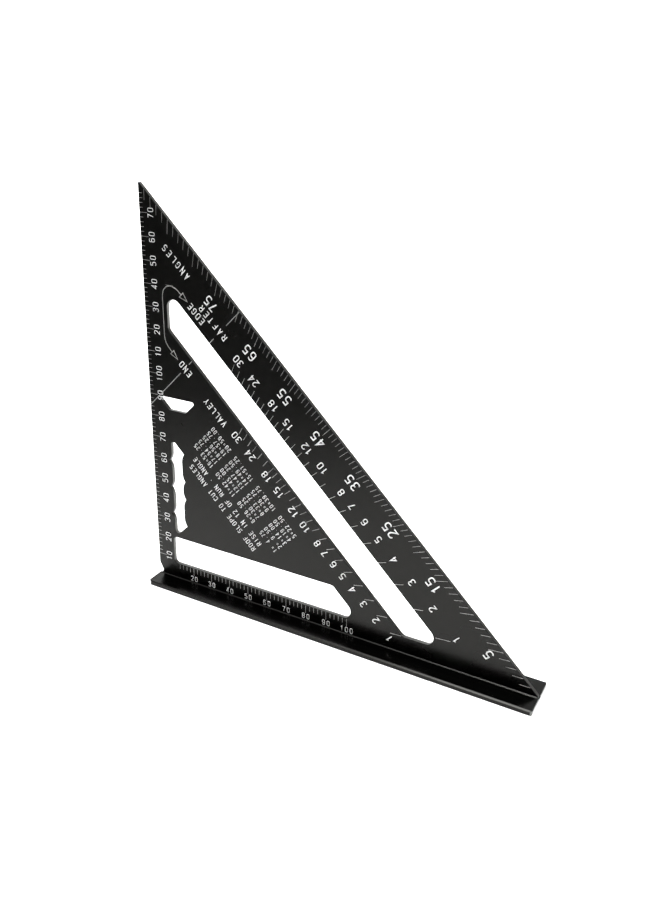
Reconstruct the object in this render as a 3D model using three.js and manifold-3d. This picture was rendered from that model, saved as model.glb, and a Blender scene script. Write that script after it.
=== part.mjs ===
// Speed square: a right-angled triangular blade of thin aluminium plate, standing on edge in a flat fence.
// Millimetres, +Z up. The origin is the centre of the fence's underside. +X runs along the fence from the
// pivot corner, where the square edge meets the fence, to the blade's far tip. The numbered face looks to -Y.
import * as THREE from 'three';
import { mergeVertices } from 'three/addons/utils/BufferGeometryUtils.js';
import Module from 'manifold-3d';

// Driving dimensions.
const blade_leg = 183;            // each square side of the triangle, from the pivot corner
const blade_thickness = 1.8;
const plate_edge_break = 0.15;    // broken edge all round the plate and its openings
const fence_length = 183.2;
const fence_width = 20;
const fence_thickness = 2.2;
const fit_gap = 0.25;             // clearance between the blade and the fence that holds it

// The blade's own outline.
const blunt_tip_height = 182.3;   // the sharp upper tip is cut level here
const blunt_toe_length = 182.8;   // and the far tip is cut square here, at the fence
const relief_width = 2.6;         // corner relief at the pivot, so a burr on the work doesn't lift the square
const relief_height = 5.2;
const foot_depth = 0.6;           // how far the plate's foot sinks into the fence's groove
const cut_radius = 3.6;           // sharp inner corners of the large openings
const soft_radius = 3;            // blunt inner corners of the large openings
const upper_tip_radius = 0.3;
const relief_radius = 1.5;        // where the relief meets the square edge

// Tabs on the foot pass right through the fence and are staked over underneath.
const tab_count = 4;
const tab_length = 12;
const tab_pitch = 46;
const tab_recess = 0.2;           // the staked ends lie this far above the resting face

// Measuring window beside the fence.
const window_left = 9;
const window_bottom = 7.2;
const window_top = 20.85;
const window_slant = 114;         // x + height along its slanted end
const window_corner = 2;

// Slot parallel to the long edge, between the two rafter scales.
const slot_left = 12.1;
const slot_inner_line = 132.9;    // x + height along the slot's inner edge
const slot_outer_line = 151.5;    // x + height along its outer edge

// Notched opening that holds a pencil point at steps along the board.
const scribe_middle = 46;         // height of its middle
const scribe_half_height = 22.6;
const scribe_left = 10.55;
const scribe_right = 15.95;
const scribe_left_notch = 9;      // how far left its left notches reach
const scribe_right_notch = 17.25;
const scribe_notch_run = 4;       // height over which a notch fades back to the side
const scribe_left_steps = [13.2, 0, -13.2];
const scribe_inner_step = 4.4;
const scribe_outer_step = 17.9;
const scribe_corner = 1.2;

// Trapezoidal sight opening.
const sight_left_line = 94.3;     // x + height along its left slant
const sight_right_line = -64.6;   // x - height along its right slant
const sight_bottom = 83.85;
const sight_top = 89.7;
const sight_corner = 0.9;

// The fence's section and ends.
const fence_chamfer = 0.5;
const fence_underside_break = 0.2;
const fence_end_chamfer = 0.35;
const pivot_end_radius = 2.2;     // corners of the fence seen from above, rounder at the pivot end
const far_end_radius = 1;
const bead_width = 0.45;          // low beads either side of the groove, pressed in against the plate
const bead_height = 0.3;
const bead_crest_width = 0.2;
const bead_foot_radius = 0.12;
const bead_crest_radius = 0.12;
const groove_edge_radius = 0.05;

const arc_divisions = 6;
const tool_overlap = 1;           // how far a cutting shape runs past what it cuts
const weld_distance = 1e-4;       // corners closer than this are one vertex

const wasm = await Module();
wasm.setup();

function to_solid(geometry) {
  const bare = geometry.clone();
  bare.deleteAttribute('normal');
  bare.deleteAttribute('uv');
  const merged = mergeVertices(bare, weld_distance);
  const vertProperties = new Float32Array(merged.attributes.position.array);
  const triVerts = new Uint32Array(merged.index.array);
  return new wasm.Manifold(new wasm.Mesh({ numProp: 3, vertProperties, triVerts }));
}

function to_geometry(solid) {
  const mesh = solid.getMesh();
  const geometry = new THREE.BufferGeometry();
  geometry.setAttribute('position', new THREE.BufferAttribute(new Float32Array(mesh.vertProperties), 3));
  geometry.setIndex(new THREE.BufferAttribute(new Uint32Array(mesh.triVerts), 1));
  geometry.computeVertexNormals();
  return geometry;
}

// Draws corners [x, y, radius] into a path, each with its own fillet, and closes it.
function filleted(path, corners) {
  const points = corners.map(([x, y]) => new THREE.Vector2(x, y));
  corners.forEach(([, , radius = 0], i) => {
    const here = points[i];
    const before = points.at(i - 1).clone().sub(here).normalize();
    const after = points[(i + 1) % points.length].clone().sub(here).normalize();
    const move = i === 0 ? 'moveTo' : 'lineTo';
    if (radius === 0) {
      path[move](here.x, here.y);
      return;
    }
    const half_angle = Math.acos(before.dot(after)) / 2;
    const start = here.clone().addScaledVector(before, radius / Math.tan(half_angle));
    const bisector = before.clone().add(after).normalize();
    const centre = here.clone().addScaledVector(bisector, radius / Math.sin(half_angle));
    const end = here.clone().addScaledVector(after, radius / Math.tan(half_angle));
    const start_angle = Math.atan2(start.y - centre.y, start.x - centre.x);
    const end_angle = Math.atan2(end.y - centre.y, end.x - centre.x);
    path[move](start.x, start.y);
    path.absarc(centre.x, centre.y, radius, start_angle, end_angle, before.cross(after) > 0);
  });
  path.closePath();
  return path;
}

// Corners of the blade's outline, in x along the fence and height above the fence's top face.
function blade_outline() {
  const foot = -foot_depth;
  const tab_end = tab_recess - fence_thickness;
  const corners = [[relief_width, foot]];
  const first_tab = (blade_leg - (tab_count - 1) * tab_pitch) / 2;
  for (let i = 0; i < tab_count; i += 1) {
    const left = first_tab + i * tab_pitch - tab_length / 2;
    const right = left + tab_length;
    corners.push([left, foot], [left, tab_end], [right, tab_end], [right, foot]);
  }
  corners.push([blunt_toe_length, foot]);
  corners.push([blunt_toe_length, blade_leg - blunt_toe_length]);
  corners.push([blade_leg - blunt_tip_height, blunt_tip_height, upper_tip_radius]);
  corners.push([0, blunt_tip_height, upper_tip_radius]);
  corners.push([0, relief_height, relief_radius]);
  corners.push([relief_width, 0]);
  return filleted(new THREE.Shape(), corners);
}

function window_opening() {
  return filleted(new THREE.Path(), [
    [window_left, window_bottom, window_corner],
    [window_slant - window_bottom, window_bottom, cut_radius],
    [window_slant - window_top, window_top, soft_radius],
    [window_left, window_top, window_corner],
  ]);
}

function rafter_slot() {
  return filleted(new THREE.Path(), [
    [slot_inner_line - window_bottom, window_bottom, soft_radius],
    [slot_outer_line - window_bottom, window_bottom, cut_radius],
    [slot_left, slot_outer_line - slot_left, cut_radius],
    [slot_left, slot_inner_line - slot_left, soft_radius],
  ]);
}

function sight_opening() {
  return filleted(new THREE.Path(), [
    [sight_left_line - sight_bottom, sight_bottom, sight_corner],
    [sight_right_line + sight_bottom, sight_bottom, sight_corner],
    [sight_right_line + sight_top, sight_top, sight_corner],
    [sight_left_line - sight_top, sight_top, sight_corner],
  ]);
}

// Runs up or down one side of the notched opening: in to the notch's point, then back to the side.
function notch(path, side, point, height, direction) {
  const fade = direction * scribe_notch_run;
  path.lineTo(side, height - fade);
  path.quadraticCurveTo(side, height - fade / 2, point, height);
  path.quadraticCurveTo(side, height + fade / 2, side, height + fade);
}

function scribe_opening() {
  const low = scribe_middle - scribe_half_height;
  const high = scribe_middle + scribe_half_height;
  const slant = scribe_half_height - scribe_outer_step;
  const path = new THREE.Path();
  const fade = scribe_notch_run;
  const outer_low = scribe_middle - scribe_outer_step;
  const outer_high = scribe_middle + scribe_outer_step;
  path.moveTo(scribe_left + scribe_corner, low);
  path.lineTo(scribe_right_notch - slant, low);
  path.lineTo(scribe_right_notch, outer_low);
  path.quadraticCurveTo(scribe_right, outer_low + fade / 2, scribe_right, outer_low + fade);
  notch(path, scribe_right, scribe_right_notch, scribe_middle - scribe_inner_step, 1);
  notch(path, scribe_right, scribe_right_notch, scribe_middle + scribe_inner_step, 1);
  path.lineTo(scribe_right, outer_high - fade);
  path.quadraticCurveTo(scribe_right, outer_high - fade / 2, scribe_right_notch, outer_high);
  path.lineTo(scribe_right_notch - slant, high);
  path.lineTo(scribe_left + scribe_corner, high);
  path.quadraticCurveTo(scribe_left, high, scribe_left, high - scribe_corner);
  for (const step of scribe_left_steps) notch(path, scribe_left, scribe_left_notch, scribe_middle + step, -1);
  path.lineTo(scribe_left, low + scribe_corner);
  path.quadraticCurveTo(scribe_left, low, scribe_left + scribe_corner, low);
  return path;
}

// The plate: one stamped piece, its outline and four openings cut from sheet and its edges broken.
function blade_geometry() {
  const outline = blade_outline();
  outline.holes.push(window_opening(), rafter_slot(), sight_opening(), scribe_opening());
  const geometry = new THREE.ExtrudeGeometry(outline, {
    depth: blade_thickness - 2 * plate_edge_break,
    bevelThickness: plate_edge_break,
    bevelSize: plate_edge_break,
    bevelOffset: -plate_edge_break,
    bevelSegments: 1,
    curveSegments: arc_divisions,
  });
  geometry.rotateX(Math.PI / 2);
  const to_middle = blade_thickness / 2 - plate_edge_break;
  geometry.translate(-fence_length / 2, to_middle, fence_thickness);
  return geometry;
}

// One bead of the fence's section, from its foot on the top face up over the crest and down into the groove.
function bead_section() {
  const groove_side = blade_thickness / 2 + fit_gap;
  const crest = fence_thickness + bead_height;
  return [
    [groove_side + bead_width, fence_thickness, bead_foot_radius],
    [groove_side + bead_crest_width, crest, bead_crest_radius],
    [groove_side, crest, groove_edge_radius],
    [groove_side, fence_thickness - foot_depth - fit_gap],
  ];
}

// The fence: an extruded strip, sawn to length, with a groove and two beads that grip the blade's foot.
function fence_geometry() {
  const half_width = fence_width / 2;
  const bead = bead_section();
  const other_bead = bead.map(([y, z, radius]) => [-y, z, radius]).reverse();
  const section = filleted(new THREE.Shape(), [
    [-half_width + fence_underside_break, 0],
    [half_width - fence_underside_break, 0],
    [half_width, fence_underside_break],
    [half_width, fence_thickness - fence_chamfer],
    [half_width - fence_chamfer, fence_thickness],
    ...bead,
    ...other_bead,
    [-half_width + fence_chamfer, fence_thickness],
    [-half_width, fence_thickness - fence_chamfer],
    [-half_width, fence_underside_break],
  ]);
  const bar_options = { depth: fence_length + 2 * tool_overlap, bevelEnabled: false, curveSegments: 3 };
  const bar = new THREE.ExtrudeGeometry(section, bar_options);
  bar.translate(0, 0, -fence_length / 2 - tool_overlap);
  bar.rotateX(Math.PI / 2);
  bar.rotateZ(Math.PI / 2);

  const half_length = fence_length / 2;
  const plan = filleted(new THREE.Shape(), [
    [-half_length, -half_width, pivot_end_radius],
    [half_length, -half_width, far_end_radius],
    [half_length, half_width, far_end_radius],
    [-half_length, half_width, pivot_end_radius],
  ]);
  const sawn_height = fence_thickness + bead_height + 2 * tool_overlap;
  const plan_options = { depth: sawn_height, bevelEnabled: false, curveSegments: arc_divisions };
  const sawn = new THREE.ExtrudeGeometry(plan, plan_options);
  sawn.translate(0, 0, -tool_overlap);

  const crown = fence_thickness + bead_height + tool_overlap;
  const lean = fence_end_chamfer + bead_height + tool_overlap;
  const ends = filleted(new THREE.Shape(), [
    [-half_length + fence_underside_break, 0],
    [half_length - fence_underside_break, 0],
    [half_length, fence_underside_break],
    [half_length, fence_thickness - fence_end_chamfer],
    [half_length - lean, crown],
    [-half_length + lean, crown],
    [-half_length, fence_thickness - fence_end_chamfer],
    [-half_length, fence_underside_break],
  ]);
  const ends_options = { depth: fence_width + 2 * tool_overlap, bevelEnabled: false };
  const dressed = new THREE.ExtrudeGeometry(ends, ends_options);
  dressed.rotateX(Math.PI / 2);
  dressed.translate(0, half_width + tool_overlap, 0);

  let solid = to_solid(bar).intersect(to_solid(sawn)).intersect(to_solid(dressed));
  const first_tab = (blade_leg - (tab_count - 1) * tab_pitch) / 2 - half_length;
  for (let i = 0; i < tab_count; i += 1) {
    const slot = new THREE.BoxGeometry(
      tab_length + 2 * fit_gap,
      blade_thickness + 2 * fit_gap,
      2 * fence_thickness,
    );
    slot.translate(first_tab + i * tab_pitch, 0, 0);
    solid = solid.subtract(to_solid(slot));
  }
  return to_geometry(solid);
}

const black_anodised = { color: 0x17181a, roughness: 0.38, metalness: 0.85 };

const blade = new THREE.Mesh(blade_geometry(), new THREE.MeshStandardMaterial(black_anodised));
blade.name = 'blade';

const fence = new THREE.Mesh(fence_geometry(), new THREE.MeshStandardMaterial(black_anodised));
fence.name = 'fence';

const group = new THREE.Group();
group.add(blade, fence);

export default group;
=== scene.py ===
"""Speed square: a black anodised aluminium blade standing on edge in its fence, with whitened scales."""
import math

import bmesh
import bpy
from mathutils import Matrix, Vector
from mathutils.geometry import interpolate_bezier


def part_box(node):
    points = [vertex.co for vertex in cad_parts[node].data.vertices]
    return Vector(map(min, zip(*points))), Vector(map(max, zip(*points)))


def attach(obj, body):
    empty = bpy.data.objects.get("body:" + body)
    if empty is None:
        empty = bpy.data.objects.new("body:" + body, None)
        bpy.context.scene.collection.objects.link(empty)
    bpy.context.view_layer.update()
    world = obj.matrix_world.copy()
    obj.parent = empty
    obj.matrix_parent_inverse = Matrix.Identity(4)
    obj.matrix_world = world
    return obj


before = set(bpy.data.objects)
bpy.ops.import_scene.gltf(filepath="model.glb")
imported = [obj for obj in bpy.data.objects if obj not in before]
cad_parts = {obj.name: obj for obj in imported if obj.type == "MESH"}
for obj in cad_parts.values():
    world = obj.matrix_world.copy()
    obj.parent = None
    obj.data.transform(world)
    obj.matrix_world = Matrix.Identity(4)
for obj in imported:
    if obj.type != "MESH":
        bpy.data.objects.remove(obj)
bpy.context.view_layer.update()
mm = 0.001

# Camera. It is held above the far tip and looks left and down across the numbered face, through a
# moderately wide lens, with the frame dropped by the lens shift.
camera_place = Vector((158.7, -288.2, 229.3)) * mm
camera_yaw = math.radians(28.98)
camera_pitch = math.radians(18.25)
camera_roll = math.radians(0.4)
lens = bpy.data.cameras.new("camera")
lens.sensor_width = 36
lens.lens = 35.79
lens.shift_y = -0.0961
lens.clip_start = 10 * mm
camera = bpy.data.objects.new("camera", lens)
camera.matrix_world = (
    Matrix.Translation(camera_place)
    @ Matrix.Rotation(camera_yaw, 4, "Z")
    @ Matrix.Rotation(math.pi / 2 - camera_pitch, 4, "X")
    @ Matrix.Rotation(camera_roll, 4, "Z")
)
bpy.context.collection.objects.link(camera)
bpy.context.scene.camera = camera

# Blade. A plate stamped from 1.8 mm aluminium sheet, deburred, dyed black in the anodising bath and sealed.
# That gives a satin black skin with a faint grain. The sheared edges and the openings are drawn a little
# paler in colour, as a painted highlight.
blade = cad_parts["blade"]
blade_low, blade_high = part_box("blade")
fence_low, fence_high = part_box("fence")
bead_height = 0.3 * mm
pivot_corner = Vector((blade_low.x, 0, fence_high.z - bead_height))


def srgb(code):
    """A colour written as an sRGB hex code, turned to the linear values that a shader takes."""
    parts = [int(code[i : i + 2], 16) / 255 for i in (1, 3, 5)]
    linear = [c / 12.92 if c <= 0.04045 else ((c + 0.055) / 1.055) ** 2.4 for c in parts]
    return (*linear, 1)


def add_node(material, kind, settings, links={}):
    """Adds a node. A setting is a property or an input's value; a link feeds an input from an output."""
    made = material.node_tree.nodes.new(kind)
    for name, value in settings.items():
        if isinstance(name, str) and hasattr(made, name):
            setattr(made, name, value)
        else:
            made.inputs[name].default_value = value
    for name, output in links.items():
        material.node_tree.links.new(output, made.inputs[name])
    return made


def finish_of(name, settings):
    """A new material whose shader has these settings, with the shader itself."""
    material = bpy.data.materials.new(name)
    material.use_nodes = True
    shader = material.node_tree.nodes["Principled BSDF"]
    for socket, value in settings.items():
        shader.inputs[socket].default_value = value
    return material, shader


def coat(piece, material):
    piece.data.materials.clear()
    piece.data.materials.append(material)


# Black anodised sheet: a metal whose dyed oxide skin returns a few per cent of the light, satin all over.
sheet_grain = 0.7 * mm  # the real grain is finer and wouldn't show, so it is drawn this coarse
handling_marks = 35 * mm
cut_edge_roughness = 0.42  # sheared edges are duller than the rolled faces
sheet_black, shader = finish_of("black_anodised_sheet", {"Metallic": 1.0})
place = add_node(sheet_black, "ShaderNodeTexCoord", {})
cloudy = add_node(
    sheet_black, "ShaderNodeTexNoise", {"Scale": 1 / handling_marks, "Detail": 3.0},
    {"Vector": place.outputs["Object"]},
)
sheen = add_node(
    sheet_black, "ShaderNodeMapRange", {"From Min": 0.35, "From Max": 0.65, "To Min": 0.23, "To Max": 0.28},
    {"Value": cloudy.outputs[0]},
)
way_out = add_node(sheet_black, "ShaderNodeSeparateXYZ", {}, {"Vector": place.outputs["Normal"]})
flatness = add_node(sheet_black, "ShaderNodeMath", {"operation": "ABSOLUTE"}, {0: way_out.outputs["Y"]})
# The mask picks the sheared edges and the openings' walls. They are duller there, and paler in colour as a
# painted highlight.
edge_mask_for_roughness_and_painted_highlight = add_node(
    sheet_black, "ShaderNodeMapRange", {"From Min": 0.9, "From Max": 0.3}, {"Value": flatness.outputs[0]}
)
# Painted highlight: the edge faces take #5a5a58, against #222221 for the dyed faces.
dye_and_painted_edge_highlight = add_node(
    sheet_black, "ShaderNodeMix", {"data_type": "RGBA", 6: srgb("#222221"), 7: srgb("#5a5a58")},
    {0: edge_mask_for_roughness_and_painted_highlight.outputs[0]},
)
cut_sheen = add_node(
    sheet_black, "ShaderNodeMix", {3: cut_edge_roughness}, {0: edge_mask_for_roughness_and_painted_highlight.outputs[0], 2: sheen.outputs[0]},
)
grain = add_node(
    sheet_black, "ShaderNodeTexNoise", {"Scale": 1 / sheet_grain, "Detail": 2.0},
    {"Vector": place.outputs["Object"]},
)
relief = add_node(
    sheet_black, "ShaderNodeBump", {"Strength": 0.08, "Distance": 0.02 * mm}, {"Height": grain.outputs[0]}
)
for socket, output in (
    ("Base Color", dye_and_painted_edge_highlight.outputs[2]),
    ("Roughness", cut_sheen.outputs[0]),
    ("Normal", relief.outputs[0]),
):
    sheet_black.node_tree.links.new(output, shader.inputs[socket])
coat(blade, sheet_black)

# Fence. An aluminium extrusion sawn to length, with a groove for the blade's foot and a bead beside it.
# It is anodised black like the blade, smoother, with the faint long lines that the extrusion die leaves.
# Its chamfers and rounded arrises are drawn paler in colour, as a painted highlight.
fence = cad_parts["fence"]
die_line_width = 0.5 * mm
die_line_length = 90 * mm
extrusion_black, shader = finish_of("black_anodised_extrusion", {"Metallic": 1.0})
place = add_node(extrusion_black, "ShaderNodeTexCoord", {})
drawn_out = add_node(
    extrusion_black, "ShaderNodeMapping",
    {"Scale": (1 / die_line_length, 1 / die_line_width, 1 / die_line_width)},
    {"Vector": place.outputs["Object"]},
)
die_lines = add_node(
    extrusion_black, "ShaderNodeTexNoise", {"Scale": 1.0, "Detail": 3.0}, {"Vector": drawn_out.outputs[0]}
)
sheen = add_node(
    extrusion_black, "ShaderNodeMapRange",
    {"From Min": 0.3, "From Max": 0.7, "To Min": 0.2, "To Max": 0.27},
    {"Value": die_lines.outputs[0]},
)
relief = add_node(
    extrusion_black, "ShaderNodeBump", {"Strength": 0.2, "Distance": 0.02 * mm},
    {"Height": die_lines.outputs[0]},
)
facing = add_node(
    extrusion_black, "ShaderNodeVectorMath", {"operation": "ABSOLUTE"}, {"Vector": place.outputs["Normal"]}
)
squareness = add_node(
    extrusion_black, "ShaderNodeVectorMath", {"operation": "DOT_PRODUCT", 1: (1, 1, 1)},
    {0: facing.outputs[0]},
)
# The mask picks the chamfers and rounded arrises, whose normals lie between the axes. Their paler colour is
# a painted highlight.
painted_arris_highlight_mask = add_node(
    extrusion_black, "ShaderNodeMapRange", {"From Min": 1.1, "From Max": 1.35},
    {"Value": squareness.outputs["Value"]},
)
# Painted highlight: the arrises take #5c5c5a, against #1d1d1c for the faces.
dye_and_painted_edge_highlight = add_node(
    extrusion_black, "ShaderNodeMix", {"data_type": "RGBA", 6: srgb("#1d1d1c"), 7: srgb("#5c5c5a")},
    {0: painted_arris_highlight_mask.outputs[0]},
)
for socket, output in (
    ("Base Color", dye_and_painted_edge_highlight.outputs[2]),
    ("Roughness", sheen.outputs[0]),
    ("Normal", relief.outputs[0]),
):
    extrusion_black.node_tree.links.new(output, shader.inputs[socket])
coat(fence, extrusion_black)

# Edge scale. Millimetres up the square edge, a line every 2 mm, a long one and a number every 10 mm.
# All markings are burnt through the dye by a laser, which leaves whitish bare oxide, dull to the eye.
faces = ("front", "back")
blade_thickness = blade_high.y - blade_low.y
whitened_depth = 0.04 * mm  # half of it stands above the plate's face, so that it always shows
tick_width = 0.16
burn_spot_size = 0.6 * mm
edge_clearance = 0.2
corner_arc_points = 4
arc_handle = 0.55  # makes a Bezier corner round

whitened, shader = finish_of("laser_whitened_oxide", {"Roughness": 0.55, "IOR": 1.6})
place = add_node(whitened, "ShaderNodeTexCoord", {})
burn_spots = add_node(
    whitened, "ShaderNodeTexNoise", {"Scale": 1 / burn_spot_size, "Detail": 2.0},
    {"Vector": place.outputs["Object"]},
)
burnt = add_node(
    whitened, "ShaderNodeMix", {"data_type": "RGBA", 6: srgb("#d9dadb"), 7: srgb("#f3f3f2")},
    {0: burn_spots.outputs[0]},
)
whitened.node_tree.links.new(burnt.outputs[2], shader.inputs["Base Color"])

# Ticks are a single pass of the same laser, so they are thinner and greyer than the numerals.
greyed, shader = finish_of("laser_greyed_oxide", {"Roughness": 0.5, "IOR": 1.6})
place = add_node(greyed, "ShaderNodeTexCoord", {})
burn_spots = add_node(
    greyed, "ShaderNodeTexNoise", {"Scale": 1 / burn_spot_size, "Detail": 2.0},
    {"Vector": place.outputs["Object"]},
)
burnt = add_node(
    greyed, "ShaderNodeMix", {"data_type": "RGBA", 6: srgb("#858583"), 7: srgb("#a9a9a6")},
    {0: burn_spots.outputs[0]},
)
greyed.node_tree.links.new(burnt.outputs[2], shader.inputs["Base Color"])

# Single-stroke letters on a grid 3 wide and 6 high: strokes of (x, y) or (x, y, corner radius).
bowl = 1.2
zero = [[(0, 0, bowl), (3, 0, bowl), (3, 6, bowl), (0, 6, bowl), "closed"]]
letter_p = [(0, 0), (0, 6), (3, 6, bowl), (3, 2.8, bowl), (0, 2.8)]
letters = {
    " ": [],
    ".": [[(1.2, 0.2), (1.8, 0.2)]],
    "•": [[(1, 3), (2, 3)]],
    "=": [[(0.2, 2.1), (2.8, 2.1)], [(0.2, 3.9), (2.8, 3.9)]],
    "0": zero,
    "1": [[(0.5, 4.9), (1.8, 6), (1.8, 0)]],
    "2": [[(0, 4.7), (0, 6, bowl), (3, 6, bowl), (3, 3.5, 1), (0, 0), (3, 0)]],
    "3": [
        [(0, 5), (0, 6, 1), (3, 6, bowl), (3, 3.2, bowl), (1.2, 3.2)],
        [(1.2, 3.2), (3, 3.2, bowl), (3, 0, bowl), (0, 0, 1), (0, 1)],
    ],
    "4": [[(2.4, 0), (2.4, 6), (0, 1.7), (3.2, 1.7)]],
    "5": [[(2.8, 6), (0.2, 6), (0.1, 3.6), (3, 3.6, bowl), (3, 0, bowl), (0, 0, 1), (0, 1)]],
    "6": [[(2.8, 5), (2.8, 6, 1), (0, 6, bowl), (0, 0, bowl), (3, 0, bowl), (3, 3.5, bowl), (0.1, 3.5)]],
    "7": [[(0, 6), (3, 6), (1, 0)]],
    "8": [
        [(0.1, 3.2, 1), (2.9, 3.2, 1), (2.9, 6, 1), (0.1, 6, 1), "closed"],
        [(0, 0, bowl), (3, 0, bowl), (3, 3.2, bowl), (0, 3.2, bowl), "closed"],
    ],
    "9": [[(0.2, 1), (0.2, 0, 1), (3, 0, bowl), (3, 6, bowl), (0, 6, bowl), (0, 2.5, bowl), (2.9, 2.5)]],
    "A": [[(0, 0), (1.5, 6), (3, 0)], [(0.5, 2), (2.5, 2)]],
    "C": [[(3, 4.7), (3, 6, bowl), (0, 6, bowl), (0, 0, bowl), (3, 0, bowl), (3, 1.3)]],
    "D": [[(0, 0), (3, 0, bowl), (3, 6, bowl), (0, 6), "closed"]],
    "E": [[(3, 6), (0, 6), (0, 0), (3, 0)], [(0, 3.1), (2.4, 3.1)]],
    "F": [[(3, 6), (0, 6), (0, 0)], [(0, 3.1), (2.4, 3.1)]],
    "G": [[(3, 4.7), (3, 6, bowl), (0, 6, bowl), (0, 0, bowl), (3, 0, bowl), (3, 2.8), (1.7, 2.8)]],
    "I": [[(1.5, 0), (1.5, 6)]],
    "L": [[(0, 6), (0, 0), (2.8, 0)]],
    "N": [[(0, 0), (0, 6), (3, 0), (3, 6)]],
    "O": zero,
    "P": [letter_p],
    "R": [letter_p, [(1.5, 2.8), (3, 0)]],
    "S": [
        [(3, 5), (3, 6, 1), (0, 6, bowl), (0, 3.1, bowl), (3, 3.1, bowl), (3, 0, bowl), (0, 0, 1), (0, 1)],
    ],
    "T": [[(0, 6), (3, 6)], [(1.5, 6), (1.5, 0)]],
    "U": [[(0, 6), (0, 0, bowl), (3, 0, bowl), (3, 6)]],
    "V": [[(0, 6), (1.5, 0), (3, 6)]],
    "Y": [[(0, 6), (1.5, 3), (3, 6)], [(1.5, 3), (1.5, 0)]],
}


def drawn(face, x, z):
    """A point on a face, in mm from the pivot corner, as somebody who looks at that face would draw it."""
    return Vector((x if face == "front" else -x, z, 0))


def rounded(corners, closed):
    """The points of a line through these corners, with an arc at each corner that has a radius."""
    path = []
    for i, corner in enumerate(corners):
        here = Vector((*corner[:2], 0))
        if len(corner) == 2:
            path.append(here)
            continue
        before = Vector((*corners[i - 1][:2], 0))
        after = Vector((*corners[(i + 1) % len(corners)][:2], 0))
        start = here + (before - here).normalized() * corner[2]
        end = here + (after - here).normalized() * corner[2]
        handles = start.lerp(here, arc_handle), end.lerp(here, arc_handle)
        path += interpolate_bezier(start, *handles, end, corner_arc_points)
    return path


def add_line(curve, points, closed=False):
    spline = curve.splines.new("POLY")
    spline.points.add(len(points) - 1)
    for made, point in zip(spline.points, points):
        made.co = (*point, 1)
    spline.use_cyclic_u = closed


def add_label(curve, face, text, centre, height, up, advance, narrow=1.0):
    """Writes text centred on a point of the face, with that total height, and its tops towards up."""
    rise = drawn(face, *up).normalized()
    along = Vector((rise.y, -rise.x, 0))
    unit = (height - 2 * curve.bevel_depth) / 6
    for i, letter in enumerate(text):
        middle = drawn(face, *centre) + along * advance * (i - (len(text) - 1) / 2)
        for stroke in letters[letter]:
            closed = stroke[-1] == "closed"
            path = rounded(stroke[:-1] if closed else stroke, closed)
            points = [middle + along * (p.x - 1.5) * unit * narrow + rise * (p.y - 3) * unit for p in path]
            add_line(curve, points, closed)


def new_drawing(name, stroke):
    curve = bpy.data.curves.new(name, "CURVE")
    curve.dimensions = "2D"
    curve.fill_mode = "NONE"
    curve.bevel_depth = stroke / 2
    curve.bevel_resolution = 0
    curve.use_fill_caps = True
    return curve


def add_tick(bm, face, start, end, width=tick_width):
    """A straight line of the scale from start to end, in mm from the pivot corner."""
    a, b = drawn(face, *start), drawn(face, *end)
    turn = Matrix.Rotation(math.atan2(b.y - a.y, b.x - a.x), 4, "Z")
    size = Matrix.Diagonal(((b - a).length, width, whitened_depth / mm, 1))
    bmesh.ops.create_cube(bm, size=1, matrix=Matrix.Translation((a + b) / 2) @ turn @ size)


def burn_in(name, face, bm=None, curve=None, finish=None):
    """Turns ticks and a drawing, made flat in mm, into one whitened piece on that face of the blade."""
    bm = bm or bmesh.new()
    if curve:
        flat = bpy.data.objects.new(name, curve)
        bpy.context.collection.objects.link(flat)
        bpy.context.view_layer.update()
        strokes = bpy.data.meshes.new_from_object(flat.evaluated_get(bpy.context.evaluated_depsgraph_get()))
        strokes.transform(Matrix.Diagonal((1, 1, whitened_depth / mm / (2 * curve.bevel_depth), 1)))
        bm.from_mesh(strokes)
        bpy.data.objects.remove(flat)
        bpy.data.meshes.remove(strokes)
    bmesh.ops.remove_doubles(bm, verts=bm.verts, dist=0.002)
    bmesh.ops.recalc_face_normals(bm, faces=bm.faces)
    onto_face = (
        Matrix.Translation(pivot_corner)
        @ Matrix.Rotation(0 if face == "front" else math.pi, 4, "Z")
        @ Matrix.Translation((0, -blade_thickness / 2, 0))
        @ Matrix.Rotation(math.pi / 2, 4, "X")
        @ Matrix.Scale(mm, 4)
    )
    bmesh.ops.transform(bm, matrix=onto_face, verts=bm.verts)
    mesh = bpy.data.meshes.new(f"{name}_{face}")
    bm.to_mesh(mesh)
    bm.free()
    piece = bpy.data.objects.new(f"{name}_{face}", mesh)
    bpy.context.collection.objects.link(piece)
    coat(piece, finish or (whitened if curve else greyed))
    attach(piece, "root")


edge_scale_first, edge_scale_last = 10, 178
edge_number_middle = 6
for face in faces:
    bm = bmesh.new()
    for height in range(edge_scale_first, edge_scale_last + 1, 2):
        reach = 4.3 if height % 10 == 0 else 2.1
        add_tick(bm, face, (edge_clearance, height), (reach, height))
    burn_in("edge_scale_ticks", face, bm)
    numbers = new_drawing("edge_scale_numbers", 0.32)
    for height in range(10, 180, 10):
        shown = height if height <= 100 else height - 100
        add_label(numbers, face, str(shown), (edge_number_middle, height), 3.1, (-1, 0), 2.55)
    burn_in("edge_scale_numbers", face, curve=numbers)

# Foot scale. Millimetres along the fence, hanging from the lower edge of the measuring window, whitened
# in the same pass, so that a pencil in the window can be set against the fence.
window_bottom = 7.2
for face in faces:
    bm = bmesh.new()
    for along in range(12, 101, 2):
        reach = 4 if along % 10 == 0 else 2.5
        add_tick(bm, face, (along, window_bottom - edge_clearance), (along, window_bottom - reach))
    burn_in("foot_scale_ticks", face, bm)
    numbers = new_drawing("foot_scale_numbers", 0.3)
    for along in range(20, 101, 10):
        add_label(numbers, face, str(along), (along, 1.75), 2.6, (0, 1), 2.3)
    burn_in("foot_scale_numbers", face, curve=numbers)

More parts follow.
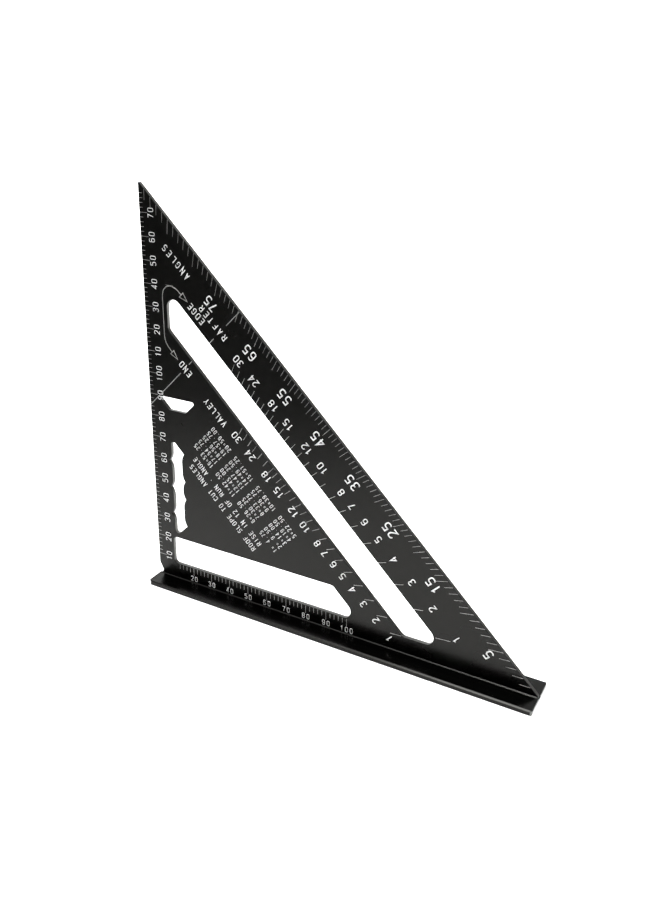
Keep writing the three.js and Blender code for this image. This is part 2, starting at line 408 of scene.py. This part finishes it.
# Degree scale. Rays from the pivot corner, one a degree, cut off in a band inside the long edge, with the
# largest numerals on the tool; the number row drifts slowly away from the edge towards the top.
blade_leg = 183
long_edge_depth = blade_leg / math.sqrt(2)  # the long edge's distance from the pivot corner
to_pivot = (-1, -1)  # numbers along the long edge have their tops towards the pivot corner


def on_ray(angle, depth):
    """Where the ray at an angle to the fence crosses a line parallel to the long edge at that depth."""
    turn = math.radians(angle)
    reach = depth * math.sqrt(2) / (math.cos(turn) + math.sin(turn))
    return reach * math.cos(turn), reach * math.sin(turn)


def beside_edge(run, depth):
    """A point so far up the long edge's direction from its middle, at that depth from the pivot corner."""
    return (depth - run) / math.sqrt(2), (depth + run) / math.sqrt(2)


def run_of(angle, depth):
    x, z = on_ray(angle, depth)
    return (z - x) / math.sqrt(2)


for face in faces:
    bm = bmesh.new()
    for angle in range(1, 90):
        inner = 124.5 if angle % 5 == 0 else 126
        add_tick(bm, face, on_ray(angle, inner), on_ray(angle, long_edge_depth - edge_clearance))
    burn_in("degree_scale_ticks", face, bm)
    numbers = new_drawing("degree_scale_numbers", 0.58)
    for angle in range(5, 80, 10):
        run = run_of(angle, 124.4 + 0.06 * (45 - angle))
        depth = 121.4 - 0.0145 * run
        add_label(numbers, face, str(angle), beside_edge(run, depth), 4.7, to_pivot, 3.7)
    burn_in("degree_scale_numbers", face, curve=numbers)

# Common rafter scale. Rays at the slope of so many inches of rise in 12 of run, cut off along the slot's
# outer edge; above 18 they are stepped off evenly up to 30.
slot_outer_depth = 151.5 / math.sqrt(2)
common_angles = {n: math.degrees(math.atan2(n, 12)) for n in range(1, 19)}
common_last_step = 1.59
rafter_tick_width = 0.2
for step, n in enumerate((19, 20, 22, 24, 26, 28, 30), 1):
    common_angles[n] = common_angles[18] + step * common_last_step
numbered = (1, 2, 3, 4, 5, 6, 7, 8, 10, 12, 15, 18, 24, 30)
for face in faces:
    bm = bmesh.new()
    for n, angle in common_angles.items():
        inner = 112.2 if n == 1 else 110.8
        outer = on_ray(angle, slot_outer_depth + edge_clearance)
        add_tick(bm, face, outer, on_ray(angle, inner), rafter_tick_width)
    burn_in("common_rafter_ticks", face, bm)
    numbers = new_drawing("common_rafter_numbers", 0.43)
    for n in numbered:
        run = run_of(common_angles[n], 111.3 + 0.04 * (45 - common_angles[n]))
        add_label(numbers, face, str(n), beside_edge(run, 114.1 - 0.012 * run), 3.6, to_pivot, 2.7)
    burn_in("common_rafter_numbers", face, curve=numbers)

# Hip and valley scale. The same for a rafter that runs 17 to the common rafter's 12, cut off along the
# slot's inner edge.
slot_inner_depth = 132.9 / math.sqrt(2)
hip_tick_depth = 90
hip_angles = {n: math.degrees(math.atan2(n, 17)) for n in range(1, 19)}
for step, n in enumerate((20, 22, 24), 1):
    hip_angles[n] = hip_angles[18] + step * 2.35
for step, n in enumerate((26, 28, 30), 1):
    hip_angles[n] = hip_angles[24] + step * 1.9
for face in faces:
    bm = bmesh.new()
    for angle in hip_angles.values():
        outer = on_ray(angle, slot_inner_depth - edge_clearance)
        add_tick(bm, face, outer, on_ray(angle, hip_tick_depth), rafter_tick_width)
    burn_in("hip_valley_ticks", face, bm)
    numbers = new_drawing("hip_valley_numbers", 0.43)
    for n in numbered:
        run = run_of(hip_angles[n], 92) - (0.9 if n > 9 else 0)
        add_label(numbers, face, str(n), beside_edge(run, 88), 3.6, to_pivot, 2.7)
    burn_in("hip_valley_numbers", face, curve=numbers)

# Conversion table. For each rise in 12 of run from 1 to 20, the angle in degrees to the nearest quarter,
# in four groups of five, under two title lines, in the finest lettering on the tool.
table = new_drawing("conversion_table", 0.24)
for n in range(1, 21):
    angle = round(4 * math.degrees(math.atan2(n, 12))) / 4
    group, row = divmod(n - 1, 5)
    middle = beside_edge(-20.9 + 15.8 * group, 66.6 + 3.4 * row)
    add_label(table, "front", f"{n:2d}={angle:5.2f}", middle, 2.35, to_pivot, 1.64, narrow=0.75)
burn_in("conversion_table", "front", curve=table)
titles = new_drawing("table_titles", 0.28)
for words, run, depth, advance in (
    ("ROOF SLOPE TO CUT ANGLES", 3.9, 57, 1.96),
    ("RISE IN 12 OF RUN • ANGLE", 4.7, 61.4, 1.93),
):
    add_label(titles, "front", words, beside_edge(run, depth), 2.75, to_pivot, advance, narrow=0.85)
burn_in("table_titles", "front", curve=titles)

# Headings. One plain word names each scale, in the same single-stroke lettering as the numbers.
headings = new_drawing("scale_headings", 0.4)
for word, run, depth, advance in (
    ("ANGLES", 93.8, 119.3, 3.08),
    ("EDGE", 72.5, 111.2, 2.67),
    ("RAFTER", 64.5, 115.3, 3.1),
    ("END", 59.4, 88.4, 2.67),
    ("VALLEY", 36.8, 86.8, 2.45),
):
    add_label(headings, "front", word, beside_edge(run, depth), 3.2, to_pivot, advance)
burn_in("scale_headings", "front", curve=headings)

# Reference line and loop arrow. A broken line square to the long edge, and round the slot's upper end a
# thin line with a hollow arrowhead at each end.
reference_run = 59.7
bm = bmesh.new()
for inner, outer in (
    (60.2, 85.1),
    (91.5, slot_inner_depth - edge_clearance),
    (slot_outer_depth + edge_clearance, 110.6),
    (119.8, long_edge_depth - edge_clearance),
):
    add_tick(bm, "front", beside_edge(reference_run, inner), beside_edge(reference_run, outer), 0.35)
loop = new_drawing("reference_line_and_arrow", 0.35)
around_slot = [(13.6, 111.2), (10, 115.3, 2.5), (10, 140.3, 4.5), (16.8, 140.3, 3), (20, 137)]
add_line(loop, rounded(around_slot, False))
for arrowhead in ([(16.5, 108.3), (12.9, 110.2), (14.7, 112)], [(23, 134.5), (19, 136), (21, 138)]):
    add_line(loop, rounded(arrowhead, True), closed=True)
burn_in("reference_line_and_arrow", "front", bm, loop, finish=greyed)

# Studio. A white paper sweep that stands behind the square and turns up into a wall, lit by one large
# soft light overhead and one that whitens the wall.
paper, shader = finish_of("white_paper_sweep", {"Base Color": srgb("#f2f2f2"), "Roughness": 0.9})
half_width, front_reach, back_reach, turn_up, wall_height = 4, 3, 1.6, 0.8, 3
bm = bmesh.new()
ends = [bm.verts.new((side * half_width, -front_reach, 0)) for side in (-1, 1)]
edges = [bm.edges.new(ends)]


def drawn_on(edges, move):
    """Extrudes the sweep's last edge by a step and returns the new last edge."""
    made = bmesh.ops.extrude_edge_only(bm, edges=edges)["geom"]
    bmesh.ops.translate(bm, vec=move, verts=[v for v in made if isinstance(v, bmesh.types.BMVert)])
    across = [e for e in made if isinstance(e, bmesh.types.BMEdge)]
    return [e for e in across if abs((e.verts[0].co - e.verts[1].co).x) > 1]


edges = drawn_on(edges, (0, front_reach + back_reach, 0))
turned = bmesh.ops.spin(
    bm, geom=edges, cent=(0, back_reach, turn_up), axis=(1, 0, 0), angle=math.pi / 2, steps=16
)["geom_last"]
drawn_on([e for e in turned if isinstance(e, bmesh.types.BMEdge)], (0, 0, wall_height))
bmesh.ops.transform(bm, matrix=Matrix.Rotation(camera_yaw, 4, "Z"), verts=bm.verts)
bmesh.ops.recalc_face_normals(bm, faces=bm.faces)
mesh = bpy.data.meshes.new("paper_sweep")
bm.to_mesh(mesh)
bm.free()
for polygon in mesh.polygons:
    polygon.use_smooth = True
sweep = bpy.data.objects.new("paper_sweep", mesh)
bpy.context.collection.objects.link(sweep)
coat(sweep, paper)


def add_softbox(name, place, aim, width, height, watts, spread=180, turn=0):
    light = bpy.data.lights.new(name, "AREA")
    light.shape = "RECTANGLE"
    light.size, light.size_y, light.energy = width, height, watts
    light.spread = math.radians(spread)
    lamp = bpy.data.objects.new(name, light)
    facing_aim = (aim - place).to_track_quat("-Z", "Y").to_matrix().to_4x4()
    lamp.matrix_world = Matrix.Translation(place) @ facing_aim
    lamp.matrix_world @= Matrix.Rotation(math.radians(turn), 4, "Z")
    bpy.context.collection.objects.link(lamp)


backwards = Vector((-math.sin(camera_yaw), math.cos(camera_yaw), 0))
up = Vector((0, 0, 1))
softbox_set_back = 0.715
add_softbox(
    "gridded_softbox", Vector((0, softbox_set_back, 1.1)), Vector((0, softbox_set_back, 0)), 2.8, 1.7, 42,
    spread=14, turn=-19,
)
add_softbox("wall_light", up * 2.2 + backwards * 0.6, backwards * 2.4 + up * 0.5, 2.5, 0.8, 55, spread=110)
add_softbox("edge_light", Vector((0.02, -0.76, 0.92)), Vector((0.09, -0.01, 0)), 0.7, 0.3, 1.6)
world = bpy.data.worlds.new("studio")
bpy.context.scene.world = world
world.use_nodes = True
world.node_tree.nodes["Background"].inputs["Color"].default_value = srgb("#f5f5f3")
world.node_tree.nodes["Background"].inputs["Strength"].default_value = 0.22
bpy.context.scene.view_settings.view_transform = "Standard"
